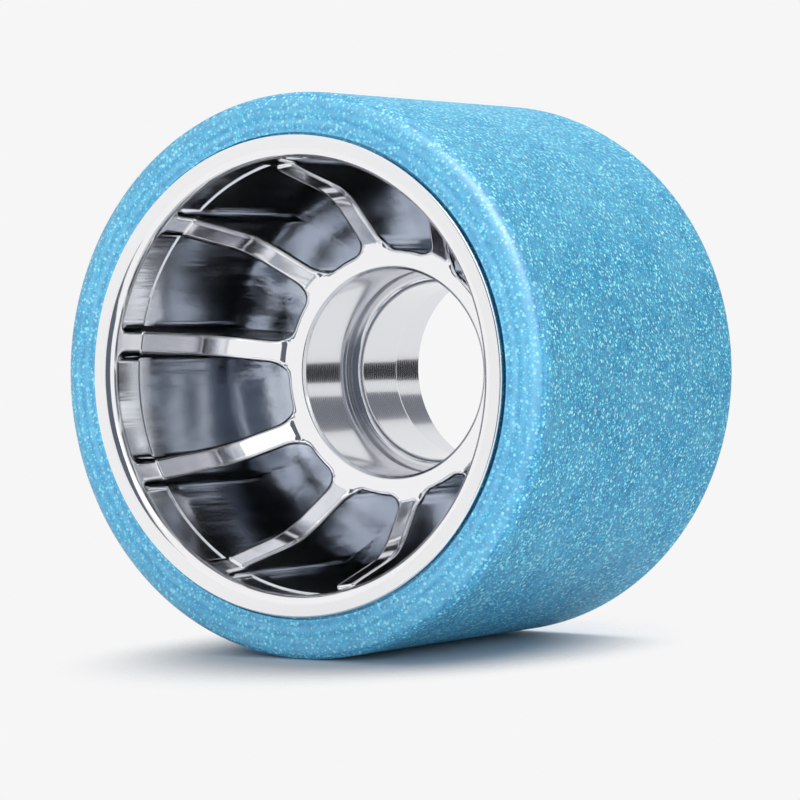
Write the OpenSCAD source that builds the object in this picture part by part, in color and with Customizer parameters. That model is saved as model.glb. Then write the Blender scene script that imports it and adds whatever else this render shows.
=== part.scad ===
// Roller skate wheel: a spoked cast-aluminium hub with a urethane tyre cast onto its barrel.
// The wheel's axis is Y, its dished front looks along -Y, and the origin is the wheel's centre.

/* [Tyre] */
// Diameter over the tread
tyre_d = 58; // [55:0.5:64]
// How far the hub's lips stand ahead of the urethane
lip_proud = 0.5; // [0.2:0.1:1.2]
// How far each side face falls back between the lip and the shoulder
side_fall = 0.2; // [0.1:0.1:1.5]
// Radius of the rounded shoulders
shoulder_r = 2; // [0.8:0.1:2.8]

/* [Rim] */
// Width of the hub, lip face to lip face
hub_w = 44.2; // [40:0.2:48]
// Radial width of the flat lip face
lip_face = 2.2; // [1.8:0.05:2.4]
// Radius of the lip's inner edge
lip_edge_r = 1.1; // [0.2:0.1:1.5]
// Axial thickness of each lip outside the barrel
lip_t = 2; // [1.5:0.1:3]
// Diameter of the bore at the turned step behind the lip
step_d = 43.4; // [41:0.1:46]
// Depth of the lip's bore in front of the pockets
pocket_start = 1.4; // [1.3:0.1:4]
// How far the pockets' outer wall lies outside the step
pocket_relief = 0.9; // [0.6:0.05:1.2]
// Thickness of the wall between the pockets and the urethane
rim_wall = 1; // [0.8:0.1:1.8]
// How far each lip stands out past that wall
lip_h = 1; // [0.7:0.1:1.8]
// Depth of the turned step below the lip face
step_depth = 4.5; // [3.5:0.1:6]
// Height of the turned step
step_h = 0.2; // [0.1:0.05:0.3]
// Distance from the turned step back to the low ridge on the pocket walls
ridge_gap = 0.9; // [0.4:0.1:3]
// Axial width of that ridge
ridge_w = 2; // [1:0.1:4]
// Height of the ridge
ridge_h = 0.25; // [0.1:0.05:0.4]
// Number of key rings around the barrel
key_count = 3; // [2:1:4]
// Width of each key ring
key_w = 3; // [2:0.5:5]
// Height of each key ring
key_h = 0.6; // [0.3:0.1:0.8]

/* [Spokes] */
// Number of spokes
spoke_count = 10; // [6:1:12]
// Width of each spoke
spoke_w = 2.5; // [1.6:0.1:3]
// Angle of the first spoke, seen from the front
spoke_turn = 27.6; // [0:0.1:60]
// How far inside the turned step each spoke bends
bend_in = 2.5; // [2:0.1:4]
// Depth of the bend below the lip face
bend_depth = 14; // [10:0.5:17]
// Radius of the bend
bend_r = 10; // [1:0.5:12]
// Radius of the blend from each spoke into the boss face
root_r = 1.5; // [0.5:0.1:3]
// Corner radius of the pockets at the boss
boss_corner_r = 1.4; // [0.5:0.1:2]
// Corner radius of the pockets at the rim
rim_corner_r = 0.9; // [0.4:0.1:1.5]
// Depth below the lip face at which the pocket walls start to round into the floor
bowl_depth = 21.5; // [20:0.5:26]
// Radius of the rounded pocket floors
bowl_r = 11; // [8:0.5:14]
// Depth of the turned recess in the back
recess_depth = 1.5; // [0.5:0.1:3]
// Radius in the corners of the back recess
recess_r = 0.8; // [0.2:0.1:0.8]

/* [Bearing boss] */
// Depth of the boss face below the lip face
dish_depth = 19.8; // [15:0.1:22]
// Outside diameter of the bearing
seat_d = 22; // [22:0.01:22.1]
// Thickness of the boss wall round the seats
boss_wall = 2.1; // [1.4:0.1:3.5]
// Depth of the front bearing seat
front_seat_depth = 8.9; // [7:0.1:9.5]
// Depth of the rear bearing seat
rear_seat_depth = 7.2; // [7:0.1:9]
// Lead-in chamfer of the seats
lead_in = 0.6; // [0.3:0.1:0.8]
// Width of the undercut at the bottom of the seats
undercut_w = 0.6; // [0.4:0.1:1]
// Depth of the undercut
undercut_depth = 0.3; // [0.1:0.1:0.5]
// Height of the land between the bearings
land_h = 1.5; // [1.1:0.1:2.5]
// Radius of the rounded edges of the land
bead_r = 0.9; // [0.4:0.1:1]

/* [Hidden] */
$fn = 180;
// Overlap of a cut past the face it opens
past = 1;
// How far a rounding arc runs past the lines it joins, so that they cross
meet = 0.001;
// How far the area round a corner spreads past its two lines
spread = 1.1;

seat_r = seat_d / 2;
land_r = seat_r - land_h;
boss_r = seat_r + boss_wall;
step_r = step_d / 2;
bend_at = step_r - bend_in;
pocket_r = step_r + pocket_relief;
barrel_r = pocket_r + rim_wall;
lip_r = barrel_r + lip_h;
tread_r = tyre_d / 2;
// Middle of the wall between the pockets and the urethane
wall_r = (pocket_r + barrel_r) / 2;

// Heights are measured along the axis from the wheel's centre, with the front lip face highest
front = hub_w / 2;
back = -front;
step_top = front - step_depth;
pocket_top = front - pocket_start;
ridge_bottom = step_top - ridge_gap - ridge_w;
bend_top = front - bend_depth;
boss_top = front - dish_depth;
front_stop = boss_top - front_seat_depth;
rear_stop = back + rear_seat_depth;
recess_top = back + recess_depth;
bowl_top = front - bowl_depth;
bowl_bottom = bowl_top - bowl_r;
side_top = front - lip_proud;
crown_top = side_top - side_fall;
key_step = (hub_w - 2 * lip_t) / (key_count + 1);

function toward(a, b) = (b - a) / norm(b - a);
function turn(u, v) = u[0] * v[1] - u[1] * v[0];

// The area between a corner of an outline and the arc that rounds it, spread past both lines
module corner_area(corner, before, after, r) {
    u = toward(corner, before);
    v = toward(corner, after);
    half = acos(u * v) / 2;
    reach = r / tan(half);
    centre = corner + (u + v) / norm(u + v) * r / sin(half);
    kite = [corner, corner + u * reach, centre, corner + v * reach];
    difference() {
        polygon([for (p = kite) centre + (p - centre) * spread]);
        translate(centre) circle(r + meet);
    }
}

// An outline of [x, y, corner radius] points, in counter-clockwise order
module rounded_outline(points) {
    count = len(points);
    xy = [for (p = points) [p[0], p[1]]];
    before = [for (i = [0 : count - 1]) xy[(i + count - 1) % count]];
    after = [for (i = [0 : count - 1]) xy[(i + 1) % count]];
    outward = [for (i = [0 : count - 1]) turn(xy[i] - before[i], after[i] - xy[i]) > 0];
    difference() {
        union() {
            polygon(xy);
            for (i = [0 : count - 1])
                if (points[i][2] > 0 && !outward[i])
                    corner_area(xy[i], before[i], after[i], points[i][2]);
        }
        for (i = [0 : count - 1])
            if (points[i][2] > 0 && outward[i])
                corner_area(xy[i], before[i], after[i], points[i][2]);
    }
}

// Half section of the hub before its pockets are cut, as radius and height
module hub_section() {
    rounded_outline([
        [land_r, rear_stop, bead_r],
        [seat_r + undercut_depth, rear_stop, 0],
        [seat_r + undercut_depth, rear_stop - undercut_w, 0],
        [seat_r, rear_stop - undercut_w, 0],
        [seat_r, back + lead_in, 0],
        [seat_r + lead_in, back, 0],
        [boss_r, back, 0],
        [boss_r, recess_top, recess_r],
        [step_r, recess_top, recess_r],
        [step_r, back, 0],
        [lip_r, back, 0],
        [lip_r, back + lip_t, 0],
        [barrel_r, back + lip_t, 0],
        [barrel_r, front - lip_t, 0],
        [lip_r, front - lip_t, 0],
        [lip_r, front, 0],
        [lip_r - lip_face, front, lip_edge_r],
        [step_r + step_h, step_top, 0],
        [step_r, step_top, 0],
        [bend_at, bend_top, bend_r],
        [boss_r, boss_top, root_r],
        [seat_r + lead_in, boss_top, 0],
        [seat_r, boss_top - lead_in, 0],
        [seat_r, front_stop + undercut_w, 0],
        [seat_r + undercut_depth, front_stop + undercut_w, 0],
        [seat_r + undercut_depth, front_stop, 0],
        [land_r, front_stop, bead_r],
    ]);
}

// The key rings that lock the urethane along the barrel
module key_rings() {
    for (i = [1 : key_count]) {
        middle = back + lip_t + i * key_step;
        ring(middle - key_w / 2, middle + key_w / 2, wall_r, barrel_r + key_h);
    }
}

// The area between two spokes, with rounded corners
module pocket_outline() {
    half_pitch = 180 / spoke_count;
    side = spoke_w / 2;
    boss_v = side + boss_corner_r;
    boss_u = sqrt(pow(boss_r + boss_corner_r, 2) - pow(boss_v, 2));
    rim_v = side + rim_corner_r;
    rim_u = sqrt(pow(pocket_r - rim_corner_r, 2) - pow(rim_v, 2));
    apex = side / sin(half_pitch);
    span = pocket_r + past;
    difference() {
        intersection() {
            polygon([
                [apex, 0],
                [apex + span * cos(half_pitch), -span * sin(half_pitch)],
                [apex + span, 0],
                [apex + span * cos(half_pitch), span * sin(half_pitch)],
            ]);
            circle(pocket_r);
        }
        circle(boss_r);
        for (m = [0, 1])
            mirror([0, m]) rotate(-half_pitch) {
                difference() {
                    polygon([
                        [boss_u - 2 * boss_corner_r, 0],
                        [boss_u, side],
                        [boss_u, boss_v],
                        [boss_u, boss_v] * boss_r / (boss_r + boss_corner_r),
                    ]);
                    translate([boss_u, boss_v]) circle(boss_corner_r + meet);
                }
                difference() {
                    polygon([
                        [pocket_r + rim_corner_r, 0],
                        [rim_u, rim_v] * pocket_r / (pocket_r - rim_corner_r),
                        [rim_u, rim_v],
                        [rim_u, side],
                    ]);
                    translate([rim_u, rim_v]) circle(rim_corner_r + meet);
                }
            }
    }
}

module pocket() {
    translate([0, 0, bowl_bottom - past])
        linear_extrude(pocket_top - bowl_bottom + past) pocket_outline();
}

// Half section of the metal left under the rounded pocket floors
module bowl_section() {
    difference() {
        translate([boss_r - past, bowl_bottom - 2 * past])
            square([pocket_r - boss_r + 2 * past, bowl_r + 2 * past]);
        translate([pocket_r - bowl_r, bowl_top]) circle(bowl_r + meet);
    }
}

// A ring around the axis, from one height and radius to another
module ring(bottom, top, inner_r, outer_r) {
    translate([0, 0, bottom]) difference() {
        cylinder(h = top - bottom, r = outer_r);
        translate([0, 0, -past]) cylinder(h = top - bottom + 2 * past, r = inner_r);
    }
}

// The wheel is drawn with its axis upright and its front on top, then laid with its front along -Y
module lay() {
    rotate([90, 0, 0]) children();
}

module hub() {
    color("silver") lay() {
        difference() {
            rotate_extrude() hub_section();
            difference() {
                for (i = [0 : spoke_count - 1])
                    rotate(spoke_turn + (i + 0.5) * 360 / spoke_count) pocket();
                rotate_extrude() bowl_section();
            }
        }
        ring(ridge_bottom, ridge_bottom + ridge_w, pocket_r - ridge_h, wall_r);
        key_rings();
    }
}

// Half section of the urethane ring, as radius and height
module tyre_section() {
    rounded_outline([
        [barrel_r, back + lip_t, 0],
        [lip_r, back + lip_t, 0],
        [lip_r, -side_top, 0],
        [tread_r, -crown_top, shoulder_r],
        [tread_r, crown_top, shoulder_r],
        [lip_r, side_top, 0],
        [lip_r, front - lip_t, 0],
        [barrel_r, front - lip_t, 0],
    ]);
}

module tyre() {
    color("skyblue") lay() difference() {
        rotate_extrude() tyre_section();
        key_rings();
    }
}

hub();
tyre();
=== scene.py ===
import math
import bpy
import numpy as np
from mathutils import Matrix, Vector


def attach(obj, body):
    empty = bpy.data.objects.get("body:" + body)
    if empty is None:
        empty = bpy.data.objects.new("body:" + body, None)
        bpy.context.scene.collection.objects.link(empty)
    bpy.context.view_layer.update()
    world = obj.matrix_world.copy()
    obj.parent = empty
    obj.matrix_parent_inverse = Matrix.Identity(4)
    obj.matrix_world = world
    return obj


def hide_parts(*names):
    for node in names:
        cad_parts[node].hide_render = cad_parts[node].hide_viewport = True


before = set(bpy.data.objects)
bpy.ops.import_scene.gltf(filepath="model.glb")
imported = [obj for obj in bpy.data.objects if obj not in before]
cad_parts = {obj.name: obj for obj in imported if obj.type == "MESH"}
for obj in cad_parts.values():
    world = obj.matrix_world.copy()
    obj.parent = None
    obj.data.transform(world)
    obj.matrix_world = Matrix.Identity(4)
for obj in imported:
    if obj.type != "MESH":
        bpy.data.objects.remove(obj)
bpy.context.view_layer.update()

# Hub
# The real hub is one aluminium casting: a lipped barrel, ten bent spokes and a bearing boss.
# It is cast, turned on the lip face and the bearing seats, then polished like a mirror.
MM = 0.001
# Radii from the axle, heights along it towards the front and other lengths, in millimetres
lip_r, barrel_r, step_r, pocket_r = 24.6, 23.6, 21.7, 22.6
boss_r, seat_r, land_r = 13.1, 11.0, 9.5
front, back = 22.1, -22.1
lip_thick, lip_wide = 2.0, 2.2
step_top, step_wide = 17.6, 0.2
boss_top, boss_rise, boss_reach = 2.3, 0.3, 0.5
bend_r, bend_top = 19.2, 8.1
front_stop, rear_stop, recess_top = -6.6, -14.9, -20.6
undercut_deep, undercut_long = 0.3, 0.6
front_lead, rear_lead = 0.3, 0.6
bowl_top, bowl_r = 0.6, 11.0
spoke_count, spoke_half, first_spoke = 10, 1.25, math.radians(27.6)
boss_corner, rim_corner = 2.0, 0.9
window_top, window_corner = 20.7, 0.9
spoke_edge = 0.55
half_pitch = math.pi / spoke_count


def rounded_section(corners, arc_steps, longest):
    """Rows of radius, height and outward normal along a closed section, with the metal on its right.

    Each corner is a radius, a height and the radius of the true arc that rounds it. Small arcs take
    three steps, since no more can be seen, and no straight strip is longer than longest."""
    small_arc, small_steps = 0.25, 3
    most_of_side = 0.49
    points = np.array([c[:2] for c in corners], float)
    count = len(points)
    rows, arc_ends = [], []
    for i in range(count):
        corner = points[i]
        u = points[i - 1] - corner
        v = points[(i + 1) % count] - corner
        u_len, v_len = np.linalg.norm(u), np.linalg.norm(v)
        u, v = u / u_len, v / v_len
        half = math.acos(np.clip(u @ v, -1, 1)) / 2
        reach = min(corners[i][2] / math.tan(half), most_of_side * u_len, most_of_side * v_len)
        arc_r = reach * math.tan(half)
        centre = corner + (u + v) / np.linalg.norm(u + v) * arc_r / math.sin(half)
        bulge = np.sign(u[0] * v[1] - u[1] * v[0])
        n_in = np.array((u[1], -u[0]))
        n_out = np.array((-v[1], v[0]))
        swing = math.pi - 2 * half
        steps = arc_steps if corners[i][2] > small_arc else small_steps
        for k in range(steps + 1):
            t = k / steps
            a, b = math.sin((1 - t) * swing), math.sin(t * swing)
            n = (n_in * a + n_out * b) / math.sin(swing)
            spot = centre + n * arc_r * bulge
            rows.append((*spot, *n))
            arc_ends.append(k == steps)
    full = []
    for i, row in enumerate(rows):
        following = rows[(i + 1) % len(rows)]
        full.append(row)
        gap = math.hypot(following[0] - row[0], following[1] - row[1])
        if arc_ends[i]:
            parts = max(1, math.ceil(gap / longest))
            for k in range(1, parts):
                t = k / parts
                full.append(tuple(a + (b - a) * t for a, b in zip(row, following)))
    return np.array(full)


# From the front bearing's stop, out over the dish and the lip, along the barrel and in over the back
hub_corners = [
    (land_r, front_stop, 0.9),
    (seat_r + undercut_deep, front_stop, 0.1),
    (seat_r + undercut_deep, front_stop + undercut_long, 0.1),
    (seat_r, front_stop + undercut_long, 0.1),
    (seat_r, boss_top - front_lead, 0.08),
    (seat_r + front_lead, boss_top, 0.2),
    (boss_r + boss_reach, boss_top + boss_rise, 1.2),
    (bend_r, bend_top, 10.0),
    (step_r, step_top, 0.08),
    (step_r + step_wide, step_top, 0.08),
    (lip_r - lip_wide, front, 1.1),
    (lip_r, front, 0.2),
    (lip_r, front - lip_thick, 0.1),
    (barrel_r, front - lip_thick, 0.1),
    (barrel_r, back + lip_thick, 0.1),
    (lip_r, back + lip_thick, 0.1),
    (lip_r, back, 0.2),
    (step_r, back, 0.4),
    (step_r, recess_top, 0.8),
    (boss_r, recess_top, 0.8),
    (boss_r, back, 0.25),
    (seat_r + rear_lead, back, 0.12),
    (seat_r, back + rear_lead, 0.12),
    (seat_r, rear_stop - undercut_long, 0.1),
    (seat_r + undercut_deep, rear_stop - undercut_long, 0.1),
    (seat_r + undercut_deep, rear_stop, 0.1),
    (land_r, rear_stop, 0.9),
]
longest_strip = 6.0
hub_section = rounded_section(hub_corners, arc_steps=8, longest=longest_strip)
fine_section = rounded_section(hub_corners, arc_steps=64, longest=0.05)
dish_inner_r, dish_outer_r, dish_mouth = seat_r + 0.7, lip_r - 2.0, front - 0.6


def dish_part(section):
    """The rows of a section that lie on the dished front, from the boss face to the lip's bore."""
    r, w = section[:, 0], section[:, 1]
    between = (r > dish_inner_r) & (r < dish_outer_r)
    return section[between & (w > boss_top - 0.001) & (w < dish_mouth)]


dish = dish_part(fine_section)
window_r = float(np.interp(window_top, dish[:, 1], dish[:, 0]))

# Centres of the pockets' corner arcs, u along a spoke and v across it, and how far they are turned from it
boss_v = spoke_half + boss_corner
boss_u = math.sqrt((boss_r + boss_corner) ** 2 - boss_v ** 2)
boss_turn = math.atan2(boss_v, boss_u)
rim_v = spoke_half + rim_corner
rim_u = math.sqrt((pocket_r - rim_corner) ** 2 - rim_v ** 2)
rim_turn = math.atan2(rim_v, rim_u)
window_turn = (spoke_half + window_corner) / window_r


def dish_level(r):
    """Height and normal of the dished front at a radius."""
    return [float(np.interp(r, dish[:, 0], dish[:, k])) for k in (1, 2, 3)]


def edge_turn(r):
    """Angle from a spoke's middle to its edge, at a radius."""
    up = dish_level(r)[0] - (window_top - window_corner)
    if up > 0:
        return (spoke_half + window_corner - math.sqrt(max(0, window_corner ** 2 - up * up))) / r
    if r < math.hypot(boss_u, spoke_half):
        far = boss_r + boss_corner
        return boss_turn - math.acos(min(1, (r * r + far * far - boss_corner ** 2) / (2 * r * far)))
    return math.asin(spoke_half / r)


def pocket_gap(r, turn, w):
    """How far a point of the dished front lies from the nearest pocket, and the way to that pocket."""
    side, c, s = math.copysign(1, turn), math.cos(turn), math.sin(turn)
    turn, x, y = abs(turn), r * c, abs(r * s)
    up = w - (window_top - window_corner)
    if up > 0:
        across = r * turn - spoke_half - window_corner
        if across >= 0:
            return w - window_top, (0, 0, -1)
        far = math.hypot(across, up)
        return far - window_corner, (s * side * across / far, -c * side * across / far, -up / far)
    if turn > boss_turn:
        return boss_r - r, (c, s, 0)
    if x < boss_u:
        far = math.hypot(boss_u - x, boss_v - y)
        return far - boss_corner, ((boss_u - x) / far, side * (boss_v - y) / far, 0)
    return spoke_half - y, (0, side, 0)


def dish_point(r, turn, level):
    """Place and normal on the dished front, with the edges of the pockets rounded over."""
    w, nr, nw = level
    place = np.array((r * math.cos(turn), r * math.sin(turn), w))
    top = np.array((nr * math.cos(turn), nr * math.sin(turn), nw)) / math.hypot(nr, nw)
    gap, way = pocket_gap(r, turn, w)
    if gap >= spoke_edge:
        return place, top
    lean = (spoke_edge - max(gap, 0)) / spoke_edge
    rise = math.sqrt(1 - lean * lean)
    normal = top * rise + np.array(way) * lean
    return place - top * spoke_edge * (1 - rise), normal / np.linalg.norm(normal)


# Where the points of a rounded edge lie, in from the edge, and how many faces cross a spoke and a pocket
edge_gaps = [spoke_edge * f for f in (0, 0.09, 0.22, 0.42, 0.68, 1)]
inner_shares = (0.33, 0.67)
across_spoke = 2 * (len(edge_gaps) + len(inner_shares))
across_pocket = 20


def spoke_turns(r, half):
    """Angles across a spoke, close together along its rounded edges."""
    width = half * r
    gaps = edge_gaps + [spoke_edge + (width - spoke_edge) * t for t in inner_shares]
    near = [-(width - g) / r for g in gaps]
    return near + [0] + [-t for t in reversed(near)]


def ring_turns(r, half):
    """Angles right round one spoke and the pocket after it."""
    open_turn = 2 * half_pitch - 2 * half
    return spoke_turns(r, half) + [half + open_turn * k / across_pocket for k in range(1, across_pocket)]


# Radii of the rows: over the boss face, through the corner arcs, along the spokes and into the lip,
# with a small gap left where one group of rows follows another
face_gaps, arc_count, window_count, row_step = [1.2, 0.9, 0.6], 12, 10, 0.25
boss_rows = [boss_r - g for g in face_gaps + edge_gaps[::-1]]
quarter = math.pi / 2
arc_turns = [math.pi + boss_turn + (quarter - boss_turn) * k / arc_count for k in range(1, arc_count + 1)]
arc_rows = [math.hypot(boss_u + boss_corner * math.cos(a), boss_v + boss_corner * math.sin(a))
            for a in arc_turns]
window_heights = [window_top - window_corner * (1 - math.sin(quarter * k / window_count))
                  for k in range(window_count)]
window_rows = [float(np.interp(w, dish[:, 1], dish[:, 0])) for w in window_heights]
step_rows = [r for r in dish_part(hub_section)[:, 0] if step_r - 0.3 < r < window_rows[0] - 0.01]
straight_rows = list(np.arange(arc_rows[-1] + 0.15, step_rows[0] - 0.1, row_step))
spoke_rows = arc_rows + straight_rows + step_rows + window_rows

verts, normals, faces, finishes = [], [], [], []


def add_point(place, normal, spoke):
    """Adds a point given in the frame of one spoke, and returns its number."""
    a = first_spoke + spoke * 2 * half_pitch
    c, s = math.cos(a), math.sin(a)
    x, y, w = place
    verts.append(((x * c - y * s) * MM, -w * MM, (x * s + y * c) * MM))
    nx, ny, nw = normal
    normals.append((nx * c - ny * s, -nw, nx * s + ny * c))
    return len(verts) - 1


def add_strip(first, second, finish, closed=False):
    """Joins two rows of points with faces."""
    count = len(first)
    for k in range(count if closed else count - 1):
        m = (k + 1) % count
        faces.append((first[k], first[m], second[m], second[k]))
        finishes.append(finish)


def ring_row(r, w, nr, nw, half):
    """A full ring of points at one radius and height."""
    row = []
    for spoke in range(spoke_count):
        for t in ring_turns(r, half):
            c, s = math.cos(t), math.sin(t)
            row.append(add_point((r * c, r * s, w), (nr * c, nr * s, nw), spoke))
    return row


def dish_ring(r, half):
    """A full ring of points on the dished front."""
    level = dish_level(r)
    turns = ring_turns(r, half)
    return [add_point(*dish_point(r, t, level), spoke) for spoke in range(spoke_count) for t in turns]


POLISHED, TURNED_FACE, TURNED_BORE, TUMBLED = 0, 1, 2, 3

# The boss face, up to the inner ends of the pockets
boss_rings = [dish_ring(r, boss_turn) for r in boss_rows]
for a, b in zip(boss_rings, boss_rings[1:]):
    add_strip(a, b, POLISHED, closed=True)

# The bore of the lip, from the front ends of the pockets
lip_rows = [float(np.interp(window_top + g, dish[:, 1], dish[:, 0])) for g in edge_gaps]
lip_rings = [dish_ring(r, window_turn) for r in lip_rows]
for a, b in zip(lip_rings, lip_rings[1:]):
    add_strip(a, b, POLISHED, closed=True)

# The spokes, from the boss to the lip
ring_len = across_spoke + across_pocket
spoke_grid = []
for spoke in range(spoke_count):
    here = slice(spoke * ring_len, spoke * ring_len + across_spoke + 1)
    grid = [boss_rings[-1][here]]
    for r in spoke_rows:
        level = dish_level(r)
        grid.append([add_point(*dish_point(r, t, level), spoke) for t in spoke_turns(r, edge_turn(r))])
    grid.append(lip_rings[0][here])
    spoke_grid.append(grid)
    for a, b in zip(grid, grid[1:]):
        add_strip(a, b, POLISHED)

# The rest of the section: over the lip, along the barrel, over the back and through the bearing seats
slack = 0.02
past_lip = (hub_section[:, 0] > lip_rows[-1] + slack) & (hub_section[:, 1] > step_top)
on_boss = (hub_section[:, 0] > boss_rows[0] - slack) & (abs(hub_section[:, 1] - boss_top) < boss_rise + 0.1)
leaving, arriving = np.argmax(past_lip), np.argmax(on_boss)
bore_limit, face_limit = seat_r + 0.65, front - 0.05
previous = lip_rings[-1]
for r, w, nr, nw in [*hub_section[leaving:], *hub_section[:arriving]]:
    row = ring_row(r, w, nr, nw, window_turn if w > 0 and r > step_r else boss_turn)
    on_face = abs(nw) > 0.99 and r > step_r and abs(w) > face_limit
    finish = TURNED_FACE if on_face else TURNED_BORE if r < bore_limit else POLISHED
    add_strip(previous, row, finish, closed=True)
    previous = row
add_strip(previous, boss_rings[0], POLISHED, closed=True)

# Outline of a pocket behind the lip, as places and ways into the pocket
side_line = []
for r in [boss_r] + [r for r in spoke_rows if r < math.hypot(rim_u, spoke_half)]:
    t = boss_turn if r == boss_r else edge_turn(r)
    side_line.append(((r * math.cos(t), r * math.sin(t)), pocket_gap(r, t, 0)[1][:2]))
rim_count = len(spoke_rows) + 2 - len(side_line)
for k in range(1, rim_count + 1):
    a = 1.5 * math.pi + (math.pi / 2 + rim_turn) * k / rim_count
    c, s = math.cos(a), math.sin(a)
    side_line.append(((rim_u + rim_corner * c, rim_v + rim_corner * s), (-c, -s)))
c, s = math.cos(2 * half_pitch), math.sin(2 * half_pitch)
other_side = [((x * c + y * s, x * s - y * c), (a * c + b * s, a * s - b * c))
              for (x, y), (a, b) in side_line]


def pocket_end(r, turn, inward):
    """The part of a pocket's outline that runs round the axle, at its boss end or at its rim end."""
    turns = [turn + 2 * (half_pitch - turn) * k / across_pocket for k in range(1, across_pocket)]
    return [((r * math.cos(t), r * math.sin(t)), (inward * math.cos(t), inward * math.sin(t))) for t in turns]


pocket_line = side_line + pocket_end(pocket_r, rim_turn, -1)
pocket_line += other_side[::-1] + pocket_end(boss_r, boss_turn, 1)[::-1]
bowl_mid, pocket_mid = pocket_r - bowl_r, (boss_r + pocket_r) / 2


def bowl_point(r, turn):
    """Place and normal on the rounded floor of the pockets."""
    lean = min(1, (r - bowl_mid) / bowl_r)
    rise = math.sqrt(1 - lean * lean)
    c, s = math.cos(turn), math.sin(turn)
    return (r * c, r * s, bowl_top - bowl_r * rise), (-lean * c, -lean * s, rise)


# The pockets: a wall down from each edge, and a floor that rounds up into the outer wall
edge_drop, floor_steps = 0.3, 14
for spoke in range(spoke_count):
    gap = slice(spoke * ring_len + across_spoke + 1, (spoke + 1) * ring_len)
    near = [row[-1] for row in spoke_grid[spoke]]
    far = [row[0] for row in spoke_grid[(spoke + 1) % spoke_count]]
    edge = near + lip_rings[0][gap] + far[::-1] + boss_rings[-1][gap][::-1]
    walls, floors = [], []
    for ((x, y), (ax, ay)), top in zip(pocket_line, edge):
        r, turn = math.hypot(x, y), math.atan2(y, x)
        high = -verts[top][1] / MM - edge_drop
        low = bowl_point(r, turn)[0][2]
        heights = [high + (low - high) * f for f in (0, 0.25, 0.5, 0.75, 1)]
        walls.append([add_point((x, y, w), (ax, ay, 0), spoke) for w in heights])
        swing = math.asin(min(1, (r - bowl_mid) / bowl_r))
        to_mid = math.asin((pocket_mid - bowl_mid) / bowl_r) - swing
        floor_row = []
        for k in range(floor_steps):
            f = k / floor_steps
            floor_r = bowl_mid + bowl_r * math.sin(swing + to_mid * f)
            floor_row.append(add_point(*bowl_point(floor_r, turn + (half_pitch - turn) * f), spoke))
        floors.append(floor_row)
    wall_rows = [edge] + [list(row) for row in zip(*walls)]
    floor_rows = [list(row) for row in zip(*floors)]
    for a, b in [*zip(wall_rows, wall_rows[1:]), *zip(floor_rows, floor_rows[1:])]:
        add_strip(a, b, TUMBLED, closed=True)
    middle = add_point(*bowl_point(pocket_mid, half_pitch), spoke)
    last = floor_rows[-1]
    for a, b in zip(last, last[1:] + last[:1]):
        faces.append((a, b, middle))
        finishes.append(TUMBLED)

# The low ridge on the outer wall of each pocket, its ends let into the spokes
ridge_low, ridge_high, ridge_steps = 14.7, 16.7, 24
ridge_foot, ridge_face = pocket_r + 0.3, pocket_r - 0.15
ridge_corners = [(ridge_foot, ridge_low, 0.05), (ridge_face, ridge_low, 0.07),
                 (ridge_face, ridge_high, 0.07), (ridge_foot, ridge_high, 0.05)]
ridge = rounded_section(ridge_corners, arc_steps=6, longest=longest_strip)
ridge_end = math.asin(0.7 * spoke_half / pocket_r)
for spoke in range(spoke_count):
    bars = []
    for k in range(ridge_steps + 1):
        t = ridge_end + 2 * (half_pitch - ridge_end) * k / ridge_steps
        c, s = math.cos(t), math.sin(t)
        bars.append([add_point((r * c, r * s, w), (nr * c, nr * s, nw), spoke) for r, w, nr, nw in ridge])
    for a, b in zip(bars, bars[1:]):
        add_strip(a, b, TUMBLED, closed=True)
    for t, way in ((ridge_end, -1), (2 * half_pitch - ridge_end, 1)):
        c, s = math.cos(t), math.sin(t)
        faces.append([add_point((r * c, r * s, w), (-way * s, way * c, 0), spoke) for r, w in ridge[:, :2]])
        finishes.append(TUMBLED)


def make_piece(name, verts, normals, faces, finishes, materials):
    """A smooth mesh object whose normals are those of the true surface."""
    spots, ways = np.array(verts), np.array(normals)
    # Four corners of each face tell which way it looks, and a triangle's last corner counts twice
    quads = np.array([(*f, f[-1])[:4] for f in faces])
    a, b, c, d = (spots[quads[:, k]] for k in range(4))
    outward = (np.cross(c - a, d - b) * ways[quads].sum(1)).sum(1) >= 0
    turned = [f if right else f[::-1] for f, right in zip(faces, outward)]
    mesh = bpy.data.meshes.new(name)
    mesh.from_pydata(verts, [], turned)
    for m in materials:
        mesh.materials.append(m)
    mesh.polygons.foreach_set("material_index", finishes)
    mesh.shade_smooth()
    mesh.normals_split_custom_set_from_vertices(normals)
    piece = bpy.data.objects.new(name, mesh)
    bpy.context.collection.objects.link(piece)
    return piece


def linear(code):
    """An sRGB hex colour as linear RGBA."""
    parts = [int(code[i:i + 2], 16) / 255 for i in (1, 3, 5)]
    return (*[c / 12.92 if c <= 0.04045 else ((c + 0.055) / 1.055) ** 2.4 for c in parts], 1)


def add_node(tree, kind, settings, links=()):
    """Adds a node, sets its properties and sockets, and links its sockets to others."""
    node = tree.nodes.new(kind)
    for name, value in settings.items():
        if isinstance(name, int) or name in node.inputs:
            node.inputs[name].default_value = value
        else:
            setattr(node, name, value)
    for name, source in dict(links).items():
        tree.links.new(source, node.inputs[name])
    return node


def new_material(name):
    """An empty node material and its output."""
    material = bpy.data.materials.new(name)
    material.use_nodes = True
    tree = material.node_tree
    tree.nodes.clear()
    return material, tree, tree.nodes.new("ShaderNodeOutputMaterial")


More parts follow.
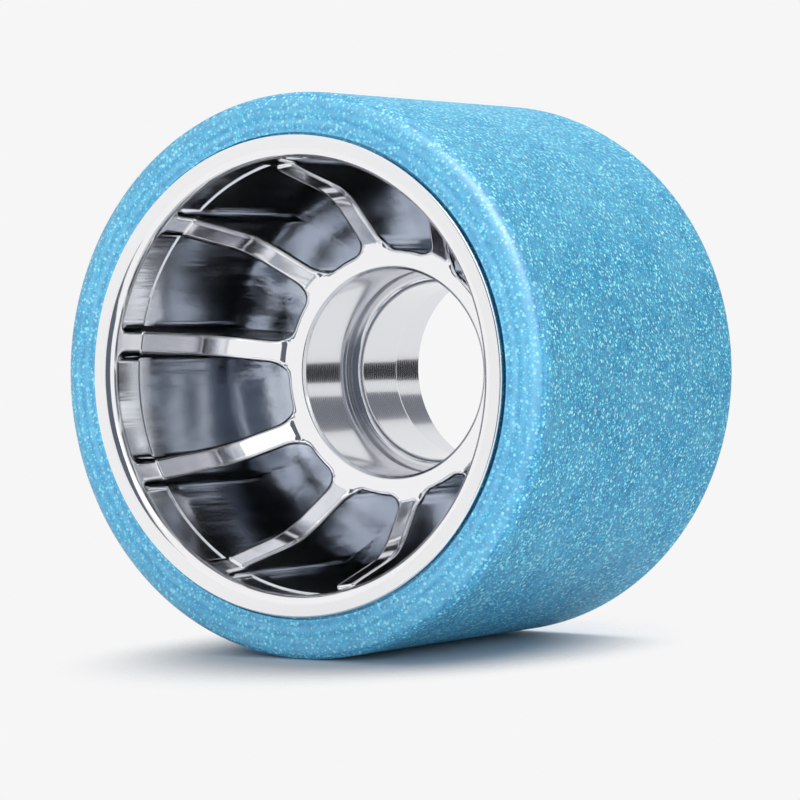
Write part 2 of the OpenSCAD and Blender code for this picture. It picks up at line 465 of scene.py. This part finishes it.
# Polished cast aluminium: a mirror with the slight unevenness that hand polishing leaves
polished, tree, out = new_material("polished cast aluminium")
where = add_node(tree, "ShaderNodeTexCoord", {})
ripple = add_node(tree, "ShaderNodeTexNoise", {"Scale": 1 / (5 * MM), "Detail": 2.0},
                  {"Vector": where.outputs["Object"]})
haze = add_node(tree, "ShaderNodeTexNoise", {"Scale": 1 / (2.5 * MM), "Detail": 3.0},
                {"Vector": where.outputs["Object"]})
rough = add_node(tree, "ShaderNodeMapRange", {"To Min": 0.05, "To Max": 0.16}, {"Value": haze.outputs["Fac"]})
wave = add_node(tree, "ShaderNodeBump", {"Strength": 0.45, "Distance": 0.14 * MM},
                {"Height": ripple.outputs["Fac"]})
shader = add_node(tree, "ShaderNodeBsdfPrincipled", {"Base Color": linear("#f8f8fa"), "Metallic": 1.0},
                  {"Roughness": rough.outputs["Result"], "Normal": wave.outputs["Normal"]})
tree.links.new(shader.outputs["BSDF"], out.inputs["Surface"])

# Turned aluminium: the lip face has fine rings from the lathe, which spread the light to a satin white.
# They are drawn 0.25 mm apart, coarser than a real finishing cut, so that they show
wave_length = 0.314  # length of one wave of the wave texture at scale 1
turned_face, tree, out = new_material("turned aluminium face")
where = add_node(tree, "ShaderNodeTexCoord", {})
feed = add_node(tree, "ShaderNodeTexWave",
                {"wave_type": "RINGS", "rings_direction": "Y", "Scale": wave_length / (0.25 * MM),
                 "Distortion": 0.4},
                {"Vector": where.outputs["Object"]})
rough = add_node(tree, "ShaderNodeMapRange", {"To Min": 0.28, "To Max": 0.36}, {"Value": feed.outputs["Fac"]})
shader = add_node(tree, "ShaderNodeBsdfPrincipled", {"Base Color": linear("#f8f8f9"), "Metallic": 1.0},
                  {"Roughness": rough.outputs["Result"]})
tree.links.new(shader.outputs["BSDF"], out.inputs["Surface"])

# Bored aluminium: the seats are bored with a fine feed, so they mirror softly along the bore.
# Its rings are drawn 0.4 mm apart, coarser than the real ones, so that they show
turned_bore, tree, out = new_material("bored aluminium seat")
where = add_node(tree, "ShaderNodeTexCoord", {})
feed = add_node(tree, "ShaderNodeTexWave", {"bands_direction": "Y", "Scale": wave_length / (0.4 * MM)},
                {"Vector": where.outputs["Object"]})
rough = add_node(tree, "ShaderNodeMapRange", {"To Min": 0.08, "To Max": 0.2}, {"Value": feed.outputs["Fac"]})
shader = add_node(tree, "ShaderNodeBsdfPrincipled", {"Base Color": linear("#e3e4e8"), "Metallic": 1.0},
                  {"Roughness": rough.outputs["Result"]})
tree.links.new(shader.outputs["BSDF"], out.inputs["Surface"])

# Tumbled aluminium: the pocket walls can't be reached by the polishing wheel, so they mirror softly
# in streaks, which the core pins of the mould leave along the wheel's axis as they are drawn out
tumbled, tree, out = new_material("tumbled cast aluminium")
where = add_node(tree, "ShaderNodeTexCoord", {})
drawn = add_node(tree, "ShaderNodeVectorMath", {"operation": "MULTIPLY", 1: (1, 0.08, 1)},
                 {0: where.outputs["Object"]})
grain = add_node(tree, "ShaderNodeTexNoise", {"Scale": 1 / (1.8 * MM), "Detail": 3.0},
                 {"Vector": drawn.outputs[0]})
rough = add_node(tree, "ShaderNodeMapRange", {"To Min": 0.09, "To Max": 0.2}, {"Value": grain.outputs["Fac"]})
wave = add_node(tree, "ShaderNodeBump", {"Strength": 0.6, "Distance": 0.1 * MM},
                {"Height": grain.outputs["Fac"]})
shader = add_node(tree, "ShaderNodeBsdfPrincipled", {"Base Color": linear("#eceff4"), "Metallic": 1.0},
                  {"Roughness": rough.outputs["Result"], "Normal": wave.outputs["Normal"]})
tree.links.new(shader.outputs["BSDF"], out.inputs["Surface"])

hub = make_piece("hub_casting", verts, normals, faces, finishes,
                 [polished, turned_face, turned_bore, tumbled])
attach(hub, "root")
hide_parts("hub")

# Tyre
# The real tyre is urethane cast onto the barrel, coloured sky blue with silver glitter stirred in.
# Its tread is turned after casting and its shoulders are rounded over.
tread_r, shoulder_r = 29.0, 2.0
side_top, crown_top = 21.6, 21.4
groove_r, groove_foot = lip_r + 0.22, side_top - 0.8
tyre_corners = [
    (lip_r, front - lip_thick, 0.05),
    (lip_r, groove_foot, 0.02),
    (groove_r, groove_foot, 0.02),
    (groove_r, side_top, 0.1),
    (tread_r, crown_top, shoulder_r),
    (tread_r, -crown_top, shoulder_r),
    (groove_r, -side_top, 0.1),
    (groove_r, -groove_foot, 0.02),
    (lip_r, -groove_foot, 0.02),
    (lip_r, back + lip_thick, 0.05),
    (barrel_r, back + lip_thick, 0.05),
    (barrel_r, front - lip_thick, 0.05),
]
tyre_section = rounded_section(tyre_corners, arc_steps=16, longest=longest_strip)
row_count, turn_count = len(tyre_section), 360
tyre_turns = [2 * math.pi * k / turn_count for k in range(turn_count)]
tyre_verts, tyre_normals, tyre_faces = [], [], []
for r, w, nr, nw in tyre_section:
    for t in tyre_turns:
        c, s = math.cos(t), math.sin(t)
        tyre_verts.append((r * c * MM, -w * MM, r * s * MM))
        tyre_normals.append((nr * c, -nw, nr * s))
for i in range(row_count):
    here, after = i * turn_count, (i + 1) % row_count * turn_count
    for k in range(turn_count):
        m = (k + 1) % turn_count
        tyre_faces.append((here + k, here + m, after + m, after + k))

# Glitter urethane: cloudy blue resin with flakes at all angles, whose normals are tilted. A random share
# of the flakes is painted pale cyan, a painted glint for the flakes that catch the light
urethane, tree, out = new_material("glitter urethane")
where = add_node(tree, "ShaderNodeTexCoord", {})
facing = add_node(tree, "ShaderNodeNewGeometry", {})
clouds = add_node(tree, "ShaderNodeTexNoise", {"Scale": 1 / (5 * MM), "Detail": 3.0},
                  {"Vector": where.outputs["Object"]})
colour = add_node(tree, "ShaderNodeMix", {"data_type": "RGBA", 6: linear("#1184bc"), 7: linear("#30a1d0")},
                  {0: clouds.outputs["Fac"]})
mottle = add_node(tree, "ShaderNodeTexNoise", {"Scale": 1 / (0.8 * MM), "Detail": 2.0},
                  {"Vector": where.outputs["Object"]})
patch = add_node(tree, "ShaderNodeMapRange", {"From Min": 0.38, "From Max": 0.62, "To Max": 0.9},
                 {"Value": mottle.outputs["Fac"]})
colour = add_node(tree, "ShaderNodeMix", {"data_type": "RGBA", 7: linear("#0569a2")},
                  {0: patch.outputs["Result"], 6: colour.outputs[2]})
# The lathe bares the flakes on the tread, and on the side faces they lie deeper under a skin of resin
parts = add_node(tree, "ShaderNodeSeparateXYZ", {}, {0: facing.outputs["Normal"]})
across = add_node(tree, "ShaderNodeMath", {"operation": "ABSOLUTE"}, {0: parts.outputs["Y"]})
bare = add_node(tree, "ShaderNodeMapRange", {"To Min": 1.0, "To Max": 0.45}, {"Value": across.outputs[0]})
skin = add_node(tree, "ShaderNodeMapRange", {"To Max": 0.36}, {"Value": across.outputs[0]})
colour = add_node(tree, "ShaderNodeMix", {"data_type": "RGBA", 7: linear("#82b9d5")},
                  {0: skin.outputs["Result"], 6: colour.outputs[2]})
# The sides and shoulders keep the gloss of the mould, and the turned tread is nearly matt
gloss = add_node(tree, "ShaderNodeMapRange",
                 {"From Min": 0.05, "From Max": 0.4, "To Min": 0.04, "To Max": 0.45},
                 {"Value": across.outputs[0]})
# A darker teal ring painted where the side face turns into the shoulder: painted shade, standing in
# for the darker reflection that the rounded shoulder takes there
outward = add_node(tree, "ShaderNodeVectorMath", {"operation": "MULTIPLY", 1: (1, 0, 1)},
                   {0: where.outputs["Object"]})
from_axle = add_node(tree, "ShaderNodeVectorMath", {"operation": "LENGTH"}, {0: outward.outputs[0]})
shade_ring_r = 26.9
off = add_node(tree, "ShaderNodeMath", {"operation": "SUBTRACT", 1: shade_ring_r * MM},
               {0: from_axle.outputs["Value"]})
off = add_node(tree, "ShaderNodeMath", {"operation": "ABSOLUTE"}, {0: off.outputs[0]})
painted_shade_ring = add_node(tree, "ShaderNodeMapRange", {"From Max": 0.8 * MM, "To Min": 0.5, "To Max": 0.0},
                {"Value": off.outputs[0]})
# The ring's darker teal, mixed into the resin colour, is painted shade
colour = add_node(tree, "ShaderNodeMix", {"data_type": "RGBA", 7: linear("#1b85b3")},
                  {0: painted_shade_ring.outputs["Result"], 6: colour.outputs[2]})
# Lathe marks: rings 0.45 mm apart round the tread and 1.1 mm apart on the side faces
tread_marks = {"bands_direction": "Y", "Scale": wave_length / (0.45 * MM)}
side_marks = {"wave_type": "RINGS", "rings_direction": "Y", "Scale": wave_length / (1.1 * MM)}
for settings, strength in ((tread_marks, 0.3), (side_marks, 0.5)):
    lathe = add_node(tree, "ShaderNodeTexWave", {**settings, "Distortion": 0.3},
                     {"Vector": where.outputs["Object"]})
    marks = add_node(tree, "ShaderNodeMath", {"operation": "MULTIPLY"},
                     {0: lathe.outputs["Fac"], 1: clouds.outputs["Fac"]})
    marks = add_node(tree, "ShaderNodeMath", {"operation": "MULTIPLY", 1: strength}, {0: marks.outputs[0]})
    colour = add_node(tree, "ShaderNodeMix", {"data_type": "RGBA", 7: linear("#9ad8f2")},
                      {0: marks.outputs[0], 6: colour.outputs[2]})
normal = facing.outputs["Normal"]
# Three sizes of flake: spacing in millimetres, radius in spacings, share that gets no painted glint,
# and the pale tint painted on the rest as their glint
small_flakes = (0.17, 0.5, 0.4, "#50c8ee")
middle_flakes = (0.28, 0.46, 0.5, "#84f0fd")
large_flakes = (0.43, 0.45, 0.56, "#b0f6ff")
for spacing_mm, flake_r, unglinted_share, glint_tint in (small_flakes, middle_flakes, large_flakes):
    cells = add_node(tree, "ShaderNodeTexVoronoi", {"Scale": 1 / (spacing_mm * MM)},
                     {"Vector": where.outputs["Object"]})
    dot = add_node(tree, "ShaderNodeMapRange", {"From Min": flake_r, "From Max": flake_r - 0.1},
                   {"Value": cells.outputs["Distance"]})
    chance = add_node(tree, "ShaderNodeTexWhiteNoise", {}, {"Vector": cells.outputs["Color"]})
    painted_glint = add_node(tree, "ShaderNodeMapRange", {"From Min": unglinted_share, "From Max": unglinted_share + 0.22},
                      {"Value": chance.outputs["Value"]})
    mask = add_node(tree, "ShaderNodeMath", {"operation": "MULTIPLY"},
                    {0: dot.outputs["Result"], 1: painted_glint.outputs["Result"]})
    mask = add_node(tree, "ShaderNodeMath", {"operation": "MULTIPLY"},
                    {0: mask.outputs[0], 1: bare.outputs["Result"]})
    # The chosen flakes are painted pale: real flakes with a painted glint
    colour = add_node(tree, "ShaderNodeMix", {"data_type": "RGBA", 7: linear(glint_tint)},
                      {0: mask.outputs[0], 6: colour.outputs[2]})
    tilt = add_node(tree, "ShaderNodeVectorMath", {"operation": "SUBTRACT", 1: (0.5, 0.5, 0.5)},
                    {0: chance.outputs["Color"]})
    lean = add_node(tree, "ShaderNodeVectorMath", {"operation": "SCALE"},
                    {0: tilt.outputs[0], "Scale": mask.outputs[0]})
    tilted = add_node(tree, "ShaderNodeVectorMath", {"operation": "ADD"}, {0: normal, 1: lean.outputs[0]})
    normal = tilted.outputs[0]
normal = add_node(tree, "ShaderNodeVectorMath", {"operation": "NORMALIZE"}, {0: normal})
shader = add_node(tree, "ShaderNodeBsdfPrincipled",
                  {"Roughness": 0.5, "Specular IOR Level": 0.08, "Coat Roughness": 0.42},
                  {"Base Color": colour.outputs[2], "Normal": normal.outputs[0],
                   "Coat Weight": gloss.outputs["Result"]})
tree.links.new(shader.outputs["BSDF"], out.inputs["Surface"])

tyre = make_piece("tyre_urethane", tyre_verts, tyre_normals, tyre_faces, [0] * len(tyre_faces), [urethane])
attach(tyre, "root")
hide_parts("tyre")

# Floor and light
# A matt table in painted-shade grey that keeps the wheel's shadow and fades into a white studio close round
# it.
# A soft light stands above and behind, a lower one in front, and boards give the metal its greys.


def background_rays(tree):
    """Gives 1 for rays of the camera, of mirrors and of glass, and 0 for light that falls on things."""
    path = add_node(tree, "ShaderNodeLightPath", {})
    seen = add_node(tree, "ShaderNodeMath", {"operation": "MAXIMUM"},
                    {0: path.outputs["Is Camera Ray"], 1: path.outputs["Is Glossy Ray"]})
    return add_node(tree, "ShaderNodeMath", {"operation": "MAXIMUM"},
                    {0: seen.outputs[0], 1: path.outputs["Is Transmission Ray"]}).outputs[0]


bpy.ops.mesh.primitive_circle_add(vertices=96, radius=1.2, fill_type="NGON", location=(0, 0, -tread_r * MM))
floor = bpy.context.object
floor.name = "floor"
table, tree, out = new_material("matt pale table")
where = add_node(tree, "ShaderNodeTexCoord", {})
reach = add_node(tree, "ShaderNodeVectorMath", {"operation": "LENGTH"}, {0: where.outputs["Object"]})
far = add_node(tree, "ShaderNodeMapRange",
               {"From Min": 0.05, "From Max": 0.16, "interpolation_type": "SMOOTHSTEP"},
               {"Value": reach.outputs["Value"]})
# The table shows only in an ellipse under the wheel, which holds its shadow
shadow_half_x, shadow_half_y, shadow_shift = 0.0275, 0.05, (-0.05, 0.1, 0)
stretch = add_node(tree, "ShaderNodeVectorMath",
                   {"operation": "MULTIPLY_ADD", 1: (1 / shadow_half_x, 1 / shadow_half_y, 0),
                    2: shadow_shift},
                   {0: where.outputs["Object"]})
spread = add_node(tree, "ShaderNodeVectorMath", {"operation": "LENGTH"}, {0: stretch.outputs[0]})
near = add_node(tree, "ShaderNodeMapRange",
                {"From Min": 0.4, "From Max": 1.0, "interpolation_type": "SMOOTHSTEP"},
                {"Value": spread.outputs["Value"]})
near = add_node(tree, "ShaderNodeMath", {"operation": "MULTIPLY"},
                {0: near.outputs["Result"], 1: background_rays(tree)})
fade = add_node(tree, "ShaderNodeMath", {"operation": "MAXIMUM"},
                {0: near.outputs[0], 1: far.outputs["Result"]})
# Its grey-blue is darker than the studio white: a painted shade that deepens the real shadow under the wheel
shade_grey_table = add_node(tree, "ShaderNodeBsdfDiffuse", {"Color": linear("#d3d9e0")})
clear = add_node(tree, "ShaderNodeBsdfTransparent", {})
cover = add_node(tree, "ShaderNodeMixShader", {},
                 {0: fade.outputs[0], 1: shade_grey_table.outputs[0], 2: clear.outputs[0]})
tree.links.new(cover.outputs[0], out.inputs["Surface"])
floor.data.materials.append(table)

studio = bpy.data.worlds.new("white studio")
bpy.context.scene.world = studio
studio.use_nodes = True
tree = studio.node_tree
tree.nodes.clear()
strength = add_node(tree, "ShaderNodeMapRange", {"To Min": 0.36, "To Max": 1.0},
                    {"Value": background_rays(tree)})
glow = add_node(tree, "ShaderNodeBackground", {"Color": linear("#f6f6f6")},
                {"Strength": strength.outputs["Result"]})
add_node(tree, "ShaderNodeOutputWorld", {}, {"Surface": glow.outputs[0]})


def add_softbox(name, place, size, power):
    """A soft light that looks at the wheel and isn't mirrored in it."""
    lamp = bpy.data.lights.new(name, "AREA")
    lamp.shape = "RECTANGLE"
    lamp.size, lamp.size_y = size
    lamp.energy = power
    box = bpy.data.objects.new(name, lamp)
    box.location = place
    box.rotation_euler = (-Vector(place)).to_track_quat("-Z", "Y").to_euler()
    box.visible_camera = False
    box.visible_glossy = False
    bpy.context.collection.objects.link(box)
    return box


add_softbox("softbox_above", (0.0, 0.25, 0.87), (0.5, 0.5), 7.0)
add_softbox("softbox_front", (0.35, -0.8, 0.02), (0.6, 0.6), 7.2)
# One more that lights only the tyre's gloss, for the shine along its rounded shoulder
strip = add_softbox("strip_shoulder", (0.46, -0.44, 0.64), (0.45, 0.6), 26.0)
strip.visible_glossy = True
strip.visible_diffuse = False
lit_by_strip = bpy.data.collections.new("lit by the strip")
lit_by_strip.objects.link(tyre)
strip.light_linking.receiver_collection = lit_by_strip


def add_card(name, place, size, code, glow=1.0):
    """A dark or glowing card that only the shine of the wheel shows."""
    tone, tree, out = new_material(name + " board")
    flat = add_node(tree, "ShaderNodeEmission", {"Color": linear(code), "Strength": glow})
    tree.links.new(flat.outputs[0], out.inputs["Surface"])
    bpy.ops.mesh.primitive_plane_add(size=1)
    card = bpy.context.object
    card.name = name
    card.scale = (*size, 1)
    card.location = place
    card.rotation_euler = (-Vector(place)).to_track_quat("Z", "Y").to_euler()
    card.visible_camera = card.visible_diffuse = card.visible_shadow = False
    card.data.materials.append(tone)


add_card("card_camera_side", (0.18, -0.58, 0.06), (0.6, 0.58), "#5c636f")
add_card("card_right", (0.6, -0.5, 0.6), (0.45, 0.7), "#ffffff", 1.6)
add_card("card_behind", (0.207, 0.342, 0.0), (0.3, 0.08), "#3c3d40")
add_card("card_behind_high", (0.232, 0.385, 0.219), (0.3, 0.22), "#7d8087")

# Camera
# It stands a little above the axle, to the right of the wheel's front, with a long lens.
azimuth, elevation, distance = math.radians(31.12), math.radians(1.27), 0.4197
camera = bpy.data.objects.new("camera", bpy.data.cameras.new("camera"))
bpy.context.collection.objects.link(camera)
away = Vector((math.sin(azimuth) * math.cos(elevation), -math.cos(azimuth) * math.cos(elevation),
               math.sin(elevation)))
camera.location = away * distance
camera.rotation_euler = (-away).to_track_quat("-Z", "Y").to_euler()
camera.data.sensor_width = 36
camera.data.lens = 177.35
camera.data.shift_x, camera.data.shift_y = -0.0041, -0.0348
camera.data.clip_start, camera.data.clip_end = 0.01, 20
bpy.context.scene.camera = camera
bpy.context.scene.view_settings.view_transform = "Standard"
